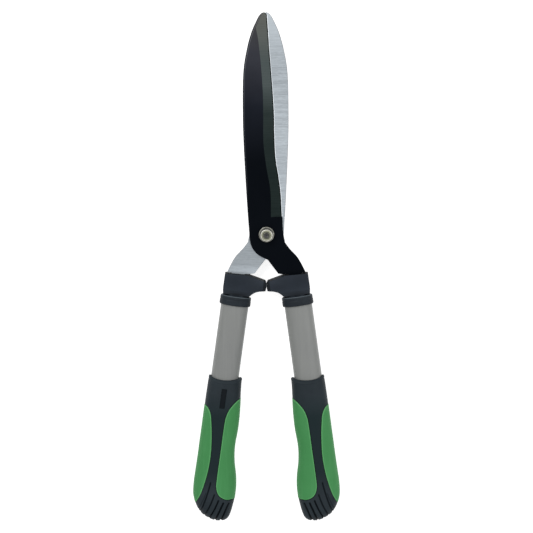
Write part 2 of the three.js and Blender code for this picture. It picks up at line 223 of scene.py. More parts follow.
def circle(radius, angles, at=(0, 0)):
    return np.column_stack([at[0] + radius * np.cos(angles), at[1] + radius * np.sin(angles)])


def bar(name, sides, radius, low, high, at=(0, 0), turn=0.0):
    return slab(name, circle(radius, turn + round_angles(sides), at), low, high)


def bake(item):
    """Turns the object's modifiers into plain mesh."""
    graph = bpy.context.evaluated_depsgraph_get()
    mesh = bpy.data.meshes.new_from_object(item.evaluated_get(graph))
    old = item.data
    item.modifiers.clear()
    item.data = mesh
    bpy.data.meshes.remove(old)
    return item


def cut(item, *cutters, how="DIFFERENCE"):
    for cutter in cutters:
        step = item.modifiers.new("cut", "BOOLEAN")
        step.operation = how
        step.solver = "EXACT"
        step.object = cutter
        bake(item)
        bpy.data.objects.remove(cutter)
    return item


def round_edges(item, width, segments, angle):
    step = item.modifiers.new("round", "BEVEL")
    step.width = width
    step.segments = segments
    step.limit_method = "ANGLE"
    step.angle_limit = math.radians(angle)
    step.use_clamp_overlap = True
    return bake(item)


def shade(item, angle=30):
    item.data.shade_smooth()
    item.data.set_sharp_from_angle(angle=math.radians(angle))
    return item


def give(item, *materials):
    for material in materials:
        item.data.materials.append(material)


def finish_piece(item, matrix, side, node, slot, *materials):
    """Puts a drawn piece in the row frame, gives it its finishes, hangs it on its half's body and hides the
    CAD node it replaces.
    """
    item.data.transform(matrix)
    give(item, *materials)
    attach(item, BODY[side])
    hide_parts(node)
    return item


def slid(item):
    """Moves a grip's piece down the handle to where it is fitted."""
    item.data.transform(Matrix.Translation((0, -GRIP_SLIDE, 0)))
    return item


def on_both_handles(item, part, slot, material):
    """One drawn handle piece becomes the right one and, turned over, the left one."""
    for side in SIDES:
        twin = in_scene(f"{side}_{part}_fine", item.data.copy())
        finish_piece(twin, HALF_TO_ROW[side] @ HANDLE_TO_HALF, side, f"{side}_{part}", slot, material)
    bpy.data.objects.remove(item)


# ---- Materials ----
def srgb(red, green, blue):
    """A colour given as it looks, 0 to 255, as the linear colour that shaders take."""
    def linear(c):
        c /= 255
        return c / 12.92 if c <= 0.04045 else ((c + 0.055) / 1.055) ** 2.4
    return (linear(red), linear(green), linear(blue), 1.0)


def scaled(colour, factor):
    return tuple(c * factor for c in colour)


def fill(node, **sockets):
    """Sets a node's sockets, each named with _ for a space."""
    for socket, value in sockets.items():
        node.inputs[socket.replace("_", " ")].default_value = value


class Finish:
    """A Principled material and short ways to add nodes to it."""

    def __init__(self, name, **sockets):
        self.material = bpy.data.materials.new(name)
        self.material.use_nodes = True
        self.tree = self.material.node_tree
        self.shader = self.tree.nodes["Principled BSDF"]
        fill(self.shader, **sockets)
        self.place = self.add("ShaderNodeTexCoord").outputs["Object"]

    def add(self, kind, **settings):
        node = self.tree.nodes.new(kind)
        for key, value in settings.items():
            setattr(node, key, value)
        return node

    def link(self, source, target):
        self.tree.links.new(source, target)

    def noise(self, scale, detail, roughness=0.55, stretch=(1, 1, 1), turn=0.0):
        """Noise with `scale` features to the metre, made longer along an axis by a stretch below 1."""
        mapping = self.add("ShaderNodeMapping")
        fill(mapping, Scale=stretch, Rotation=(0, 0, turn))
        texture = self.add("ShaderNodeTexNoise")
        fill(texture, Scale=scale, Detail=detail, Roughness=roughness)
        self.link(self.place, mapping.inputs["Vector"])
        self.link(mapping.outputs["Vector"], texture.inputs["Vector"])
        return texture.outputs["Fac"]

    def ranged(self, value, low, high, start=0.3, end=0.7):
        """A 0 to 1 value moved to run from low to high between start and end."""
        node = self.add("ShaderNodeMapRange")
        fill(node, From_Min=start, From_Max=end, To_Min=low, To_Max=high)
        self.link(value, node.inputs["Value"])
        return node.outputs["Result"]

    def blend(self, factor, first, second):
        """first where the factor is 0, second where it is 1. Each is a socket, a colour as it looks
        (0 to 255), or a linear colour with its alpha."""
        node = self.add("ShaderNodeMix", data_type="RGBA")
        for socket, colour in ((node.inputs[6], first), (node.inputs[7], second)):
            if isinstance(colour, tuple):
                socket.default_value = colour if len(colour) == 4 else srgb(*colour)
            else:
                self.link(colour, socket)
        self.link(factor, node.inputs["Factor"])
        return node.outputs[2]

    def math(self, operation, first, second):
        node = self.add("ShaderNodeMath", operation=operation)
        for socket, value in zip(node.inputs, (first, second)):
            if isinstance(value, (int, float)):
                socket.default_value = value
            else:
                self.link(value, socket)
        return node.outputs[0]

    def weighted(self, *terms):
        """The sum of (value, weight) terms."""
        total = None
        for value, weight in terms:
            term = self.math("MULTIPLY", value, weight)
            total = term if total is None else self.math("ADD", total, term)
        return total

    def noted(self, name):
        """A number stored for each vertex of the piece."""
        return self.add("ShaderNodeAttribute", attribute_name=name).outputs["Fac"]

    def upright(self):
        """1 where the surface faces straight up or down, 0 where it faces sideways."""
        normal = self.add("ShaderNodeNewGeometry").outputs["Normal"]
        return self.math("ABSOLUTE", self.axis("Z", normal), 0)

    def edged(self, colour, rim, side):
        """The colour with a thin painted highlight on rounded edges and painted shade down the sides."""
        up = self.upright()
        lit = self.math("MULTIPLY", self.ranged(up, 0, 1, 0.84, 0.93), self.ranged(up, 1, 0, 0.95, 0.998))
        colour = self.blend(lit, colour, rim)
        return self.blend(self.ranged(up, 1, 0, 0.5, 0.86), colour, side)

    def axis(self, name, source=None):
        """One axis of a vector socket, or of the place on the object."""
        split = self.add("ShaderNodeSeparateXYZ")
        self.link(source or self.place, split.inputs[0])
        return split.outputs[name]

    def done(self, colour, roughness=None, *bumps):
        """Fills the shader in. Each bump is (height, strength, distance in metres)."""
        self.link(colour, self.shader.inputs["Base Color"])
        if roughness is not None:
            self.link(roughness, self.shader.inputs["Roughness"])
        target = self.shader.inputs["Normal"]
        for height, strength, distance in reversed(bumps):
            node = self.add("ShaderNodeBump")
            fill(node, Strength=strength, Distance=distance)
            self.link(height, node.inputs["Height"])
            self.link(node.outputs["Normal"], target)
            target = node.inputs["Normal"]
        return self.material


def towards_tip(f, low, high):
    """0 at `low` millimetres past the bolt to 1 at `high`."""
    return f.ranged(f.axis("Y"), 0, 1, PIVOT.y + low * MM, PIVOT.y + high * MM)


def along_blade(f, colour, *changes):
    """The colour, changed to another over each stretch of (low, high, other) towards the tip."""
    for low, high, other in changes:
        colour = f.blend(towards_tip(f, low, high), colour, other)
    return colour


def coated_steel(name="coated_steel", highlight_lift=0):
    """Satin black coating: a fine grain, faint clouds and small scuffs, with painted light making it paler
    towards the tip.
    """
    f = Finish(name, Specular_IOR_Level=0.02)
    clouds = f.ranged(f.noise(28, 5), 0, 1)
    scuffs = f.noise(240, 6, 0.7, (1, 0.35, 1), 0.5)
    grain = f.noise(2600, 3)

    # The lift raises every tone, for the painted highlight on the inner half of the spine's chamfer.
    def tone(*low):
        return f.blend(clouds, tuple(c + highlight_lift for c in low), tuple(c * 1.12 + 1 + highlight_lift for c in low))

    base = along_blade(f, tone(5, 8, 13), (80, 150, tone(23, 26, 33)), (140, 205, tone(47, 48, 54)),
                       (200, 236, tone(59, 59, 60)))
    base = f.blend(f.ranged(scuffs, 0, 0.35, 0.68, 0.82), base, (44, 48, 53))
    return f.done(base, f.ranged(clouds, 0.38, 0.5, 0, 1), (grain, 0.12, 0.0001), (scuffs, 0.05, 0.0001))


def coated_bevel():
    """The ground bevel under the coating: paler, with the grinding marks showing through, and painted lighter
    towards the tip as light.
    """
    f = Finish("coated_bevel", Specular_IOR_Level=0.04)
    lines = f.ranged(f.noise(60, 4, 0.6, (0.5, 14, 1)), 0, 1)
    clouds = f.ranged(f.noise(40, 4), 0, 1)
    mixed = f.weighted((lines, 0.6), (clouds, 0.4))
    base = along_blade(f, f.blend(mixed, (18, 28, 27), (32, 41, 40)),
                       (92, 112, f.blend(mixed, (27, 36, 35), (41, 50, 49))),
                       (132, 163, f.blend(mixed, (62, 71, 71), (75, 82, 82))),
                       (188, 234, f.blend(mixed, (78, 80, 77), (92, 94, 90))))
    grain = f.noise(2600, 3)
    return f.done(base, f.ranged(lines, 0.36, 0.5, 0, 1), (lines, 0.12, 0.0002), (grain, 0.08, 0.0001))


def edge_shadow():
    """Painted shade: a near-black strip on the steep second bevel above the honed edge and on the outer half
    of the spine's chamfer.
    """
    f = Finish("edge_shadow", Specular_IOR_Level=0.02)
    wear = f.ranged(f.noise(350, 4, 0.6, (1, 0.5, 1)), 0, 1, 0.35, 0.65)
    return f.done(f.blend(wear, (4, 6, 8), (18, 21, 22)), f.ranged(wear, 0.4, 0.6, 0, 1))


def ground_steel(name="ground_steel", light=(186, 194, 200), dark=(154, 161, 167)):
    """Steel ground straight across the blade, in fine lines of uneven depth, darker on the tang, with a
    painted highlight low on the tang beside the ferrule.
    """
    f = Finish(name, Metallic=1.0)
    broad = f.noise(30, 3, 0.5, (0.3, 7, 1))
    fine = f.noise(60, 3, 0.6, (0.6, 15, 1))
    short = f.noise(60, 4, 0.6, (4, 22, 1))
    spread = f.ranged(f.weighted((broad, 0.15), (fine, 0.45), (short, 0.4)), 0, 1, 0.38, 0.62)
    base = f.blend(spread, dark, light)
    tang = f.blend(spread, scaled(dark, 0.91), scaled(light, 0.87))
    foot = f.blend(spread, scaled(dark, 1.14), scaled(light, 1.06))
    far = f.blend(spread, scaled(dark, 0.94), scaled(light, 0.955))
    tip = scaled(light, 0.98)
    # Tones along the blade: a painted highlight low on the tang by the ferrule, darker on the tang, a little
    # darker past about 150 mm, plain and pale at the tip.
    base = along_blade(f, foot, (-43, -33, tang), (-22, 30, base), (138, 156, far), (185, 245, tip))
    return f.done(base, f.ranged(fine, 0.3, 0.44), (fine, 0.25, 0.0002), (short, 0.15, 0.0001))


def zinc(name, dark, light):
    """Bright zinc plate, a little warm and uneven, with painted shade in its noted recesses and down its
    sides.
    """
    f = Finish(name, Metallic=1.0)
    clouds = f.noise(420, 5)
    base = f.blend(f.ranged(clouds, 0, 1), dark, light)
    # Painted shade: the noted recesses and the faces that turn sideways are darkened.
    base = f.blend(f.noted("painted_shade"), base, (98, 98, 94))
    base = f.blend(f.ranged(f.upright(), 1, 0, 0.25, 0.7), base, (92, 92, 88))
    return f.done(base, f.ranged(f.noise(900, 4), 0.2, 0.4), (f.noise(1800, 4), 0.12, 0.0001))


def bolt_end():
    """The cut end of the bolt: duller, darker steel."""
    f = Finish("bolt_steel", Metallic=1.0)
    marks = f.noise(500, 5)
    base = f.blend(f.ranged(marks, 0, 1), (112, 113, 103), (150, 151, 138))
    # Painted shade in the dimple in the bolt's end.
    base = f.blend(f.noted("painted_shade"), base, (58, 58, 60))
    return f.done(base, f.ranged(marks, 0.34, 0.52), (marks, 0.2, 0.0001))


def nylon():
    f = Finish("nylon", Specular_IOR_Level=0.4, Roughness=0.45)
    tint = f.noise(400, 4)
    return f.done(f.blend(f.ranged(tint, 0, 1), (136, 138, 118), (162, 163, 140)), None, (tint, 0.1, 0.0001))


def parting_line(f):
    """1 on the moulding's parting line, at mid-depth."""
    offset = f.math("ABSOLUTE", f.math("SUBTRACT", f.axis("Z"), PIVOT.z), 0)
    return f.ranged(offset, 1, 0, 0.00008, 0.0003)


WAIST_TOP = (-0.165, -0.14)  # in the row's frame, where the grips' darker waist fades out, upwards
WAIST_FOOT = (-0.25, -0.225)  # and where it fades in


def moulded(name, dark, light, rough=(0.46, 0.58), specular=0.16, shade_and_highlight=False, edges=False, waist=None):
    """Dark moulded plastic with a spark-eroded grain and the parting line at mid-depth, and, where asked,
    painted shade and painted highlights.
    """
    f = Finish(name, Specular_IOR_Level=specular)
    clouds = f.noise(35, 4)
    grain = f.noise(2200, 3, 0.6)
    mixed = f.weighted((clouds, 0.7), (grain, 0.3))
    base = f.blend(f.ranged(mixed, 0, 1, 0.4, 0.6), dark, light)
    if waist:
        along = f.axis("Y")
        inside = f.math("MULTIPLY", f.ranged(along, 1, 0, *WAIST_TOP), f.ranged(along, 0, 1, *WAIST_FOOT))
        base = f.blend(inside, base, waist)
    if shade_and_highlight:
        # Painted shade where the piece notes it, and a painted highlight on noted rims.
        painted_shade_amount = f.noted("painted_shade")
        base = f.blend(f.ranged(painted_shade_amount, 0, 0.95, 0, 1), base, (1, 6, 12))
        base = f.blend(f.ranged(f.noted("rim"), 0, 0.8, 0, 1), base, (88, 97, 104))
    if edges:
        # Painted highlight on rounded edges and painted shade down the sides.
        base = f.edged(base, (50, 57, 66), (11, 14, 18))
        f.link(f.ranged(f.upright(), 0.02, specular, 0.6, 0.95), f.shader.inputs["Specular IOR Level"])
    return f.done(base, f.ranged(clouds, *rough), (grain, 0.3, 0.0001), (parting_line(f), 0.5, 0.0001))


def green_rubber():
    """Soft green overmoulding: matt, finely stippled and drawn along the handle, with a painted highlight
    round its rim.
    """
    f = Finish("green_rubber", Specular_IOR_Level=0.2)
    clouds = f.noise(22, 4)
    drawn = f.noise(90, 4, 0.6, (3, 0.3, 3))
    stipple = f.noise(1500, 2, 0.5)
    base = f.blend(f.ranged(clouds, 0, 1), (56, 122, 68), (62, 129, 74))
    base = f.blend(f.ranged(drawn, 0, 0.5, 0.5, 0.8), base, (72, 138, 84))
    base = f.blend(f.ranged(stipple, 0, 0.3, 0.5, 0.75), base, (76, 140, 88))
    # Painted highlight along the pad's rounded rim.
    base = f.blend(f.ranged(f.noted("rim"), 0, 0.8, 0.3, 0.9), base, (98, 168, 106))
    return f.done(base, f.ranged(stipple, 0.55, 0.72), (stipple, 0.25, 0.00015),
                  (parting_line(f), 0.35, 0.0001))


def grey_paint():
    """Satin grey powder coat with a slight orange peel."""
    f = Finish("grey_paint", Specular_IOR_Level=0.4)
    peel = f.noise(620, 2, 0.4)
    clouds = f.noise(18, 3)
    specks = f.noise(3000, 2)
    base = f.blend(f.ranged(clouds, 0, 1), (116, 118, 117), (122, 124, 122))
    drawn = f.noise(300, 3, 0.5, (1, 0.03, 1))
    base = f.blend(f.ranged(drawn, 0, 0.5, 0.5, 0.75), base, (128, 130, 128))
    base = f.blend(f.ranged(specks, 0, 0.4, 0.62, 0.8), base, (138, 140, 139))
    return f.done(base, f.ranged(peel, 0.34, 0.46), (peel, 0.1, 0.0003), (specks, 0.05, 0.00005))


def white_floor():
    f = Finish("floor", Roughness=0.7, Specular_IOR_Level=0.1, Emission_Color=(1, 1, 1, 1),
               Emission_Strength=0.75)
    return f.done(f.blend(f.noise(3, 2), (0.6, 0.6, 0.6, 1), (0.63, 0.63, 0.63, 1)))


# ---- Blades ----
# Outlines and lines along the blade, as (y past the bolt, x) for the front one.
SPINE = through([
    (4, -19), (30, -20.9), (57, -22.6), (96, -24.7), (129, -25.7), (175, -25.3), (202, -21.4),
    (221, -16.3), (235, -10.2), (238.8, -8.0), (241.2, -5.9), (242.1, -4.3), (242.4, -3.0),
])
EDGE = through([
    (-9.2, 20.2), (4, 18), (23, 17.1), (44, 16), (63, 13.6), (83, 10.4), (109, 9.1), (136, 8.5),
    (176, 5.7), (202, 3.6), (228, 1.8), (238.6, 1.05), (240.6, 0.55), (241.8, -0.7), (242.4, -2.7),
])
BEVEL_LINE = through([
    (18, 4.8), (48, 4.2), (74, -0.2), (100, -3.3), (130, -3.6), (154, -4.0), (182, -5.8),
    (209, -8.6), (223, -11.0), (249, -17),
])
BEVEL_END = 19.0  # where the bevel stops short of the pivot
TIP_START, TIP_TOP = 236.0, 242.38
EDGE_THICK = 0.6  # left at the cutting edge under the main bevel
BACK_WIDTH = 1.6  # from the cutting edge to where the steeper second bevel starts
HONED_WIDTH = 0.55  # the bright strip along the cutting edge itself
HONED_THICK = 0.12
SPINE_CHAMFER = (1.9, 0.5)  # width and depth
ROUND = 0.3
BOLT_HOLE = 4.3  # radius, or half the side of the square one
PIN_HOLE = 2.3  # radius
REAR_LEAD = 0.0142  # how much further in the rear blade leans, for each millimetre past the bolt
COATED, BEVEL, GROUND, HONED, SPINE_HIGHLIGHT, EDGE_SHADOW = range(6)


def on_blade(u, v):
    """A point of the handle's frame as (x, y) in the half's."""
    c, s = math.cos(LEAN), math.sin(LEAN)
    return (HANDLE_X + u * c + v * s, u * s - v * c)


def ferrule_lip(u):
    """The point (u, v) of the tang's lower edge at u, just clear of the ferrule."""
    return (u, 43.3 + (u + 9.6) / 25)


def heel_outline():
    """The blade below the bevels: the pivot boss and the tang."""
    ys = np.linspace(BEVEL_END, -9.2, 24)
    edge = np.column_stack([EDGE(ys), ys])
    tang_top = on_blade(*ferrule_lip(12.8))
    outer = spline([(20.2, -9.2), (25.2, -15.9), (34.3, -26), (41.5, -39.2), tang_top], 40)[1:-1]
    tail = [ferrule_lip(12.8), ferrule_lip(8), (8, 86), (5, 90), (-3, 90), (-6, 86), ferrule_lip(-6),
            ferrule_lip(-9.6), (-16.9, 41.2)]
    tang = np.array([on_blade(u, v) for u, v in tail])
    heel = spline([(1.3, -28), (-10.1, -21.7), (-17.1, -11.3), (-19, 4)], 40)[:-1]
    ys = np.linspace(4, BEVEL_END, 6)
    return np.concatenate([edge, outer, tang, heel, np.column_stack([SPINE(ys), ys])])


def rounded_slab(name, outline, low, high, radius):
    """A flat body with its top and bottom edges rounded."""
    outline = np.asarray(outline, float)
    before, after = np.roll(outline, 1, axis=0), np.roll(outline, -1, axis=0)
    turn = np.sign(np.sum(outline[:, 0] * after[:, 1] - outline[:, 1] * after[:, 0]))
    inward = np.zeros_like(outline)
    for a, b in ((before, outline), (outline, after)):
        along = unit(b - a)
        inward += turn * np.column_stack([-along[:, 1], along[:, 0]])
    inward = unit(inward)
    angles = np.linspace(0, math.pi / 2, 4)
    levels = [(radius * (1 - math.sin(a)), low + radius * (1 - math.cos(a))) for a in angles]
    levels += [(radius * (1 - math.cos(a)), high - radius * (1 - math.sin(a))) for a in angles]
    return loft(name, [level_ring(outline + inward * d, z) for d, z in levels])


def blade_section(y, low, high):
    """The blade cut across at y: from under the spine, over the top, to under the cutting edge."""
    left, right = float(SPINE(y)), float(EDGE(y))
    wide = right - left
    edge, line = float(EDGE(min(y, TIP_START))), float(BEVEL_LINE(y))
    slope = (high - low - EDGE_THICK) / (edge - line)

    def top(x):
        return min(high, low + EDGE_THICK + slope * (edge - x))

    r = min(ROUND, 0.1 * wide)
    back, honed = min(BACK_WIDTH, 0.3 * wide), min(HONED_WIDTH, 0.1 * wide)
    grown = smooth((y - BEVEL_END) / 40)
    chamfer, depth = min(SPINE_CHAMFER[0], 0.2 * wide) * grown + 0.02, SPINE_CHAMFER[1] * grown + 0.02
    brow = left + chamfer
    start = max(line, brow + 0.05 * wide)
    second = top(right - back) - low - HONED_THICK
    points = [
        (left + r, low), (left + 0.3 * r, low + 0.3 * r), (left, low + r), (left, top(brow) - depth),
        (left + 0.5 * chamfer, top(brow) - 0.4 * depth), (brow, top(brow)), (start, top(start)),
        (right - back, top(right - back)), (right - honed, low + HONED_THICK + second * honed / back),
        (right, low + HONED_THICK), (right, low),
    ]
    return np.array([(x, y, z) for x, z in points])


# The finish of each strip between one point of blade_section and the next.
STRIPS = [COATED, COATED, COATED, EDGE_SHADOW, SPINE_HIGHLIGHT, COATED, BEVEL, EDGE_SHADOW, HONED, HONED, GROUND]


def long_blade(name):
    """The bevelled part of the blade, with a tenon that sinks into the heel."""
    low, high = BLADE_LOW + 0.02, BLADE_HIGH - 0.02
    ys = np.concatenate([
        np.linspace(BEVEL_END, TIP_START, 110 // COARSER)[:-1],
        TIP_START + (TIP_TOP - TIP_START) * np.sin(np.linspace(0, math.pi / 2, 24 // COARSER)),
    ])
    rings = [blade_section(y, low, high) for y in ys]
    foot = rings[0] - (0, 0.4, 0)
    middle = foot.mean(axis=0)
    tenon = (foot - middle) * (0.9, 1, 0.5) + middle - (0, 2, 0)
    body = loft(name, [tenon, foot] + rings)
    count = len(STRIPS)
    for face in body.data.polygons:
        face.material_index = STRIPS[face.index % count] if face.index < count * (len(ys) + 1) else COATED
    return body


def blade_mesh(name, square_hole, finishes):
    blade = rounded_slab(name, heel_outline(), BLADE_LOW, BLADE_HIGH, ROUND)
    long = long_blade("long")
    give(blade, *finishes)
    give(long, *finishes)
    for face in blade.data.polygons:
        face.material_index = GROUND if face.normal.z < -0.9 else COATED
    if square_hole:
        hole = bar("hole", 4, BOLT_HOLE * math.sqrt(2), -2, 8, turn=math.pi / 4)
    else:
        hole = bar("hole", 64, BOLT_HOLE, -2, 8)
    cut(blade, long, how="UNION")
    return cut(blade, hole, bar("pin_hole", 32, PIN_HOLE, -2, 8, at=on_blade(*PIN_AT)))


def lean_in(blade):
    for vertex in blade.data.vertices:
        vertex.co.x += REAR_LEAD * max(vertex.co.y, 0)


# ---- Ovals and turned pieces ----
OVAL_STEPS = 120
TURNED_STEPS = 96


def oval_rings(profile, steps=OVAL_STEPS):
    """Rings for an oval sleeve, from (half width, half depth, v) stations."""
    angles = round_angles(steps)
    c, s = np.cos(angles), np.sin(angles)
    return [np.column_stack([a * c, np.full(steps, -v), b * s]) for a, b, v in profile]


def turned(name, profile):
    """A body turned about the bolt from (radius, z) stations, closed on itself or on the axis."""
    angles = round_angles(TURNED_STEPS)
    rings = [level_ring(circle(r, angles), z) for r, z in profile if r > 0]
    on_axis = any(r == 0 for r, z in profile)
    return loft(name, rings) if on_axis else closed_loft(name, rings)


def arc(middle, radius, start, end, steps=5):
    """Points round part of a circle, angles in degrees."""
    angles = np.radians(np.linspace(start, end, steps))
    return [(middle[0] + radius * math.cos(a), middle[1] + radius * math.sin(a)) for a in angles]


# ---- Ferrule, bumper and collar ----
NOSE_U = handle_span("right_bumper")[0][0]  # the nose's flat end
BUMPER_LENGTH = 3.2
BUMPER_SEAM = 0.06
TANG_SLOT = ((-6.3, 40), (8.3, 40), (8.3, 90.3), (-6.3, 90.3))
BAND_TOP = 62.4  # of the shallow step round the ferrule's lower end
BAND_DEPTH = 0.45
FERRULE_TOP = 43.6
FERRULE_BOTTOM = COLLAR_LOW[1] - 1.5


def on_plan(points):
    """(u, v) points as drawn: x = u and y = -v."""
    return np.array(points, float) * (1, -1)


def pin_bar():
    """The cutter for the tang pin's hole through a handle piece."""
    return bar("pin", 32, PIN_HOLE, -20, 20, at=on_plan(PIN_AT))


def ferrule_outline():
    top = [(15.1, 44.8), (-10.4, FERRULE_TOP), (-29.6, 47.9)]
    nose = [(-31.15, 51), (-31.45, 53.2), (-31.05, 57.95)]
    underside = spline([(-29.4, 58.5), (-24, 59.6), (-19.4, 61.6), (-16, 64.7), (-14.2, FERRULE_BOTTOM)], 24)
    return on_plan(top + nose + [tuple(p) for p in underside] + [(14.5, FERRULE_BOTTOM), (15.2, 62)])


def nose_region(inset):
    edge = NOSE_U + inset
    return slab("region", on_plan([(edge, 40), (edge, 70), (-45, 70), (-45, 40)]), -15, 15)


def ferrule_block(name):
    depth = FERRULE_HIGH[2]
    return round_edges(slab(name, ferrule_outline(), -depth, depth), 1.4, 5, 25)


def make_ferrules(plastic, rubber):
    nose = cut(ferrule_block("nose"), nose_region(BUMPER_LENGTH), how="INTERSECT")
    on_both_handles(shade(round_edges(nose, 0.2, 2, 60)), "bumper", "black_rubber", rubber)
    block = cut(ferrule_block("block"), nose_region(BUMPER_LENGTH + BUMPER_SEAM))
    ends = [(*(TUBE_HALF - 1.5), v) for v in (FERRULE_BOTTOM - 1, FERRULE_HIGH[1])]
    cut(block, loft("spigot", oval_rings(ends, 64)), how="UNION")
    band = on_plan([(-20, BAND_TOP), (20, BAND_TOP), (20, 72), (-20, 72)])
    for z in (FERRULE_HIGH[2] - BAND_DEPTH, -FERRULE_HIGH[2] - 5):
        cut(block, slab("band", band, z, z + 5 + BAND_DEPTH))
    cut(block, slab("tang", on_plan(TANG_SLOT), BLADE_LOW - 0.3, BLADE_HIGH + 0.3), pin_bar())
    shade(round_edges(block, 0.2, 2, 60))
    # Painted shade on the lowered band, deepening down to the gap over the collar.
    places = vertex_places(block)
    lowered = np.abs(places[:, 2]) < FERRULE_HIGH[2] - BAND_DEPTH + 0.03
    down = (-places[:, 1] - BAND_TOP) / (FERRULE_BOTTOM - BAND_TOP)
    note(block, "painted_shade", (0.25 + 0.85 * np.clip(down, 0, 1)) * (lowered & (down > -0.1)))
    on_both_handles(block, "ferrule", "dark_plastic", plastic)


def make_collars(plastic):
    a, b = COLLAR_HALF
    top, bottom = COLLAR_LOW[1], COLLAR_HIGH[1]
    lip_a, lip_b = TUBE_HALF - 1.2
    bore_a, bore_b = TUBE_HALF + 0.3
    inset = [(1.6, 0.0), (0.9, 0.12), (0.42, 0.5), (0.22, 1.2), (0.2, 3.6), (0.3, 4.1), (0.28, 4.5),
             (0.06, 4.9), (0, 5.5), (0, 8.9), (0.16, 9.7), (0.55, 10.2)]
    outer = [(a - d, b - d, top + v) for d, v in inset]
    inner = [(bore_a + 0.5, bore_b + 0.5, bottom), (bore_a, bore_b, bottom - 0.5), (bore_a, bore_b, top + 2),
             (lip_a, lip_b, top + 2), (lip_a, lip_b, top + 0.3), (lip_a + 0.3, lip_b + 0.3, top)]
    collar = closed_loft("collar", oval_rings(outer + [(a - 1.2, b - 1.2, bottom)] + inner))
    # Painted highlight on the collar's rounded upper lip.
    lip_highlight = np.zeros(len(collar.data.vertices))
    lip_highlight[OVAL_STEPS:3 * OVAL_STEPS] = 1  # the second and third rings, round the upper edge
    note(collar, "rim", lip_highlight)
    on_both_handles(shade(collar, 35), "collar", "dark_plastic", plastic)


def make_tubes(paint):
    a, b = TUBE_HALF
    top, bottom = TUBE_LOW[1], TUBE_HIGH[1]
    stations = np.linspace(top + 0.4, bottom - 0.4, 24)
    outer = [(a, b, v) for v in stations]
    inner = [(a - 1.2, b - 1.2, v) for v in stations[::-1]]
    ends = [(a - 0.35, b - 0.35, bottom), (a - 0.9, b - 0.9, bottom)]
    starts = [(a - 0.9, b - 0.9, top), (a - 0.35, b - 0.35, top)]
    tube = closed_loft("tube", oval_rings(outer + ends + inner + starts))
    cut(tube, pin_bar())
    on_both_handles(shade(tube, 40), "tube", "grey_paint", paint)


# ---- Grips ----
# Stations down the handle: v, inner u, outer u, half depth, and how square the section is.
GRIP_STATIONS = [
    (154.1, -17.5, 16.4, 13.2, 2.2), (155.2, -18.4, 17.1, 13.9, 2.2), (158, -18.8, 17.4, 14.2, 2.2),
    (163, -19.0, 17.6, 14.3, 2.2), (178, -20.2, 17.8, 14.4, 2.3), (194, -21.4, 17.8, 14.4, 2.4),
    (210, -21.8, 17.75, 14.3, 2.4), (230, -21.0, 17.75, 14.2, 2.4), (246, -22.7, 17.7, 14.7, 2.4),
    (262, -26.5, 17.9, 15.4, 2.4), (274, -28.2, 18.0, 15.6, 2.4), (286, -28.4, 17.1, 15.5, 2.4),
    (294, -27.7, 14.8, 15.0, 2.5), (302, -26.5, 10.6, 13.4, 2.6), (308, -24.8, 5.0, 10.4, 2.6),
    (312, -21.3, -2.6, 6.6, 2.5), (313.6, -16.4, -7.6, 3.2, 2.3), (314.2, -12.9, -10.7, 0.8, 2.0),
]
GRIP_SLIDE = 2.1  # the grips are fitted this much further down than the stations say
GRIP_PARTS = [through([(row[0], row[k]) for row in GRIP_STATIONS]) for k in (1, 2, 3, 4)]
GRIP_TOP, GRIP_END = GRIP_STATIONS[0][0], GRIP_STATIONS[-1][0]
TOE_START = 306  # from here on the rows crowd towards the toe's end
FORM_STEPS = 1441  # points that a round section is first traced with
PAD_PROUD = 0.3
PAD_DEEP = 1.9
PAD_ROUND = 1.0
SEAM_WIDTH = 0.45  # of the core's edge beside a pad, turned down
RIM_BEAD = 0.45
RIM_SCALLOP = 5.9
RIM_SLANT = 1.4
# The grooves round the toe: u and v of each start, lean outwards in degrees, bow, half width and depth.
GROOVES = [
    (-23.3, 291.1, 16.5, 0, 1.15, 1.9), (-17.4, 291.4, 17, 0, 1.1, 1.8), (-11.5, 289.3, 12, 0.005, 0.95, 1.6),
    (-6.1, 283.3, 9, 0.005, 0.9, 1.25), (-0.2, 270.8, 6, 0.0025, 0.9, 1.2), (3.4, 283.5, 12, 0.003, 0.6, 0.6),
]
WINDOW = {"u": -1.3, "v": 178.5, "width": 5.5, "length": 21.5, "depth": 1.2}
# The pads' seams seen from above, as (u, row), from the top of each round to its lower end.
INNER_SEAM = [
    (-21, 176.4), (-15.9, 180.9), (-10.4, 188.5), (-7.3, 197), (-6.35, 207), (-6.3, 236), (-6.25, 268),
    (-7.3, 278), (-10.6, 284.4), (-16, 287.7), (-22, 288.65), (-26.5, 289.1), (-31, 289.3),
]
OUTER_SEAM = [
    (20, 188), (14.6, 190.6), (10.6, 196.6), (8.4, 205), (5.6, 222), (3.9, 242), (4.6, 260),
    (6.6, 274), (8.9, 285), (10.9, 290.8), (13.2, 296.2), (15.6, 302.5),
]


def rise(u, row):
    """How far the rows of the form bend up towards the inner side, near the pads' lower end."""
    return 0.35 * np.clip(-21 - u, 0, None) * smooth((row - 262) / 20)


def row_at(u, v):
    row = v
    for _ in range(4):
        row = v + rise(u, row)
    return row


def section(row, angles, bend=True):
    """Points of the grip's outer form along a row, with x = u and y = -v."""
    c, s = np.cos(angles), np.sin(angles)
    v = np.full(len(angles), float(row))
    for _ in range(4 if bend else 1):
        inner, outer, depth, square = (part(v) for part in GRIP_PARTS)
        x = (inner + outer) / 2 + (outer - inner) / 2 * np.sign(c) * np.abs(c) ** (2 / square)
        z = depth * np.sign(s) * np.abs(s) ** (2 / square)
        v_now = v
        if bend:
            v = row - rise(x, row)
    return np.column_stack([x, -v_now, z])


